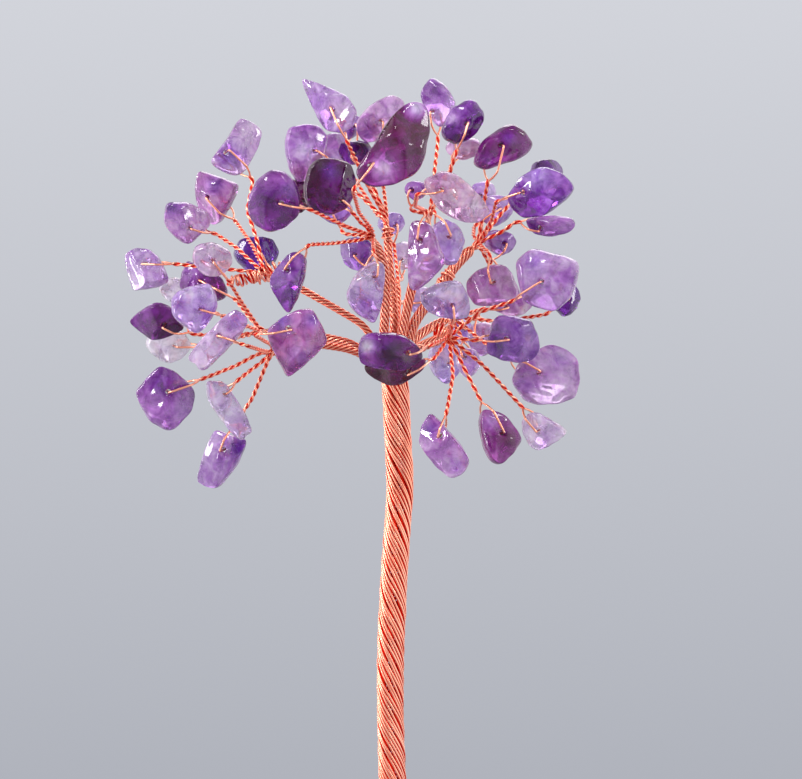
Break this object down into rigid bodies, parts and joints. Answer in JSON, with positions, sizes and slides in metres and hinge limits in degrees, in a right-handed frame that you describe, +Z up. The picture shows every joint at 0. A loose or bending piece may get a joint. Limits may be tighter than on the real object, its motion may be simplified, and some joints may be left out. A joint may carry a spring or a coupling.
{
  "type": "gemstone tree ornament",
  "caption": "Ornamental tree of drilled amethyst chips on twisted copper wire, its laid wire trunk standing on a polished stone slice.",
  "frame": {"origin": "centre of the stone base's underside", "axes": "+Z up along the trunk, +X to the viewer's right, +Y away from the viewer"},
  "size_m": [0.09, 0.0676, 0.1527],
  "materials": {
    "copper_wire": "bright drawn copper wire, clear lacquered",
    "amethyst": "tumbled and polished amethyst, clear to deep purple",
    "agate": "polished banded agate",
    "set_glue": "clear set epoxy"
  },
  "bodies": {
    "tree": {"base_slice": "agate", "glue_plug": "set_glue", "root_bundles": "copper_wire", "trunk_core": "copper_wire", "trunk_strands_left": "copper_wire", "trunk_strands_right": "copper_wire", "left_mid_branch": "copper_wire", "left_mid_twigs": "copper_wire", "left_mid_chips": "amethyst", "left_low_branch": "copper_wire", "left_low_twigs": "copper_wire", "left_low_chips": "amethyst", "left_rear_branch": "copper_wire", "left_rear_twigs": "copper_wire", "left_rear_chips": "amethyst", "centre_left_branch": "copper_wire", "centre_left_twigs": "copper_wire", "centre_left_chips": "amethyst", "centre_top_branch": "copper_wire", "centre_top_twigs": "copper_wire", "centre_top_chips": "amethyst", "centre_rear_branch": "copper_wire", "centre_rear_twigs": "copper_wire", "centre_rear_chips": "amethyst", "right_top_branch": "copper_wire", "right_top_twigs": "copper_wire", "right_top_chips": "amethyst", "right_mid_branch": "copper_wire", "right_mid_twigs": "copper_wire", "right_mid_chips": "amethyst", "right_low_branch": "copper_wire", "right_low_twigs": "copper_wire", "right_low_chips": "amethyst", "right_rear_branch": "copper_wire", "right_rear_twigs": "copper_wire", "right_rear_chips": "amethyst"},
    "left_mid_loose_chip_1": {"left_mid_loose_chip_1": "amethyst"},
    "left_mid_loose_chip_2": {"left_mid_loose_chip_2": "amethyst"},
    "left_mid_loose_chip_3": {"left_mid_loose_chip_3": "amethyst"},
    "left_low_loose_chip_1": {"left_low_loose_chip_1": "amethyst"},
    "left_low_loose_chip_2": {"left_low_loose_chip_2": "amethyst"},
    "left_low_loose_chip_3": {"left_low_loose_chip_3": "amethyst"},
    "left_low_loose_chip_4": {"left_low_loose_chip_4": "amethyst"},
    "left_rear_loose_chip_1": {"left_rear_loose_chip_1": "amethyst"},
    "centre_left_loose_chip_1": {"centre_left_loose_chip_1": "amethyst"},
    "centre_top_loose_chip_1": {"centre_top_loose_chip_1": "amethyst"},
    "right_top_loose_chip_1": {"right_top_loose_chip_1": "amethyst"},
    "right_mid_loose_chip_1": {"right_mid_loose_chip_1": "amethyst"},
    "right_mid_loose_chip_2": {"right_mid_loose_chip_2": "amethyst"},
    "right_mid_loose_chip_3": {"right_mid_loose_chip_3": "amethyst"},
    "right_low_loose_chip_1": {"right_low_loose_chip_1": "amethyst"},
    "right_low_loose_chip_2": {"right_low_loose_chip_2": "amethyst"},
    "right_low_loose_chip_3": {"right_low_loose_chip_3": "amethyst"},
    "right_low_loose_chip_4": {"right_low_loose_chip_4": "amethyst"},
    "right_low_loose_chip_5": {"right_low_loose_chip_5": "amethyst"},
    "right_rear_loose_chip_1": {"right_rear_loose_chip_1": "amethyst"}
  },
  "joints": [
    {"name": "left_mid_swing_1", "type": "hinge", "parent": "tree", "child": "left_mid_loose_chip_1", "pos_m": [-0.03004, 0.00258, 0.13962], "axis": [0.309, -0.9418, 0.1324], "range_deg": [-15, 15]},
    {"name": "left_mid_swing_2", "type": "hinge", "parent": "tree", "child": "left_mid_loose_chip_2", "pos_m": [-0.03308, 0.01522, 0.13266], "axis": [-0.3746, -0.9131, -0.161], "range_deg": [-12, 12]},
    {"name": "left_mid_swing_3", "type": "hinge", "parent": "tree", "child": "left_mid_loose_chip_3", "pos_m": [-0.04404, 0.00323, 0.11998], "axis": [-0.2756, -0.956, -0.1005], "range_deg": [-15, 15]},
    {"name": "left_low_swing_1", "type": "hinge", "parent": "tree", "child": "left_low_loose_chip_1", "pos_m": [-0.01792, -0.02304, 0.10787], "axis": [0.2419, -0.965, -0.1014], "range_deg": [-8, 8]},
    {"name": "left_low_swing_2", "type": "hinge", "parent": "tree", "child": "left_low_loose_chip_2", "pos_m": [-0.03905, -0.01703, 0.09708], "axis": [0.2079, -0.9744, -0.0853], "range_deg": [-12, 12]},
    {"name": "left_low_swing_3", "type": "hinge", "parent": "tree", "child": "left_low_loose_chip_3", "pos_m": [-0.0297, -0.014, 0.09656], "axis": [0.342, -0.9397, 0], "range_deg": [-12, 12]},
    {"name": "left_low_swing_4", "type": "hinge", "parent": "tree", "child": "left_low_loose_chip_4", "pos_m": [-0.02953, -0.00386, 0.08682], "axis": [-0.309, -0.9418, -0.1324], "range_deg": [-15, 15]},
    {"name": "left_rear_swing_1", "type": "hinge", "parent": "tree", "child": "left_rear_loose_chip_1", "pos_m": [-0.03201, -0.00693, 0.12048], "axis": [0.2419, -0.9118, -0.3319], "range_deg": [-15, 15]},
    {"name": "centre_left_swing_1", "type": "hinge", "parent": "tree", "child": "centre_left_loose_chip_1", "pos_m": [-0.01777, -0.01708, 0.11801], "axis": [-0.309, -0.9511, 0], "range_deg": [-12, 12]},
    {"name": "centre_top_swing_1", "type": "hinge", "parent": "tree", "child": "centre_top_loose_chip_1", "pos_m": [-0.015, 0.00842, 0.14057], "axis": [0.4067, -0.9085, -0.0955], "range_deg": [-12, 12]},
    {"name": "right_top_swing_1", "type": "hinge", "parent": "tree", "child": "right_top_loose_chip_1", "pos_m": [0.00753, 0.0052, 0.14735], "axis": [-0.342, -0.9305, -0.1308], "range_deg": [-15, 15]},
    {"name": "right_mid_swing_1", "type": "hinge", "parent": "tree", "child": "right_mid_loose_chip_1", "pos_m": [0.01836, -0.00525, 0.14066], "axis": [0.3746, -0.9131, -0.161], "range_deg": [-15, 15]},
    {"name": "right_mid_swing_2", "type": "hinge", "parent": "tree", "child": "right_mid_loose_chip_2", "pos_m": [0.02283, -0.01345, 0.13171], "axis": [-0.2756, -0.956, -0.1005], "range_deg": [-10, 10]},
    {"name": "right_mid_swing_3", "type": "hinge", "parent": "tree", "child": "right_mid_loose_chip_3", "pos_m": [0.01819, -0.00518, 0.11649], "axis": [-0.342, -0.9192, -0.1954], "range_deg": [-12, 12]},
    {"name": "right_low_swing_1", "type": "hinge", "parent": "tree", "child": "right_low_loose_chip_1", "pos_m": [0.0264, -0.01551, 0.11616], "axis": [-0.309, -0.9474, -0.0829], "range_deg": [-10, 10]},
    {"name": "right_low_swing_2", "type": "hinge", "parent": "tree", "child": "right_low_loose_chip_2", "pos_m": [0.01952, -0.00798, 0.10656], "axis": [0.2756, -0.9467, -0.1669], "range_deg": [-10, 10]},
    {"name": "right_low_swing_3", "type": "hinge", "parent": "tree", "child": "right_low_loose_chip_3", "pos_m": [0.00837, -0.01446, 0.08944], "axis": [-0.2079, -0.9686, -0.1361], "range_deg": [-15, 15]},
    {"name": "right_low_swing_4", "type": "hinge", "parent": "tree", "child": "right_low_loose_chip_4", "pos_m": [0.01845, -0.00823, 0.08953], "axis": [0.342, -0.9345, 0.0982], "range_deg": [-18, 18]},
    {"name": "right_low_swing_5", "type": "hinge", "parent": "tree", "child": "right_low_loose_chip_5", "pos_m": [0.02627, -0.00195, 0.09033], "axis": [-0.342, -0.9192, -0.1954], "range_deg": [-18, 18]},
    {"name": "right_rear_swing_1", "type": "hinge", "parent": "tree", "child": "right_rear_loose_chip_1", "pos_m": [0.02555, 0.00228, 0.09993], "axis": [0.2419, -0.9491, 0.2017], "range_deg": [-10, 10]}
  ]
}
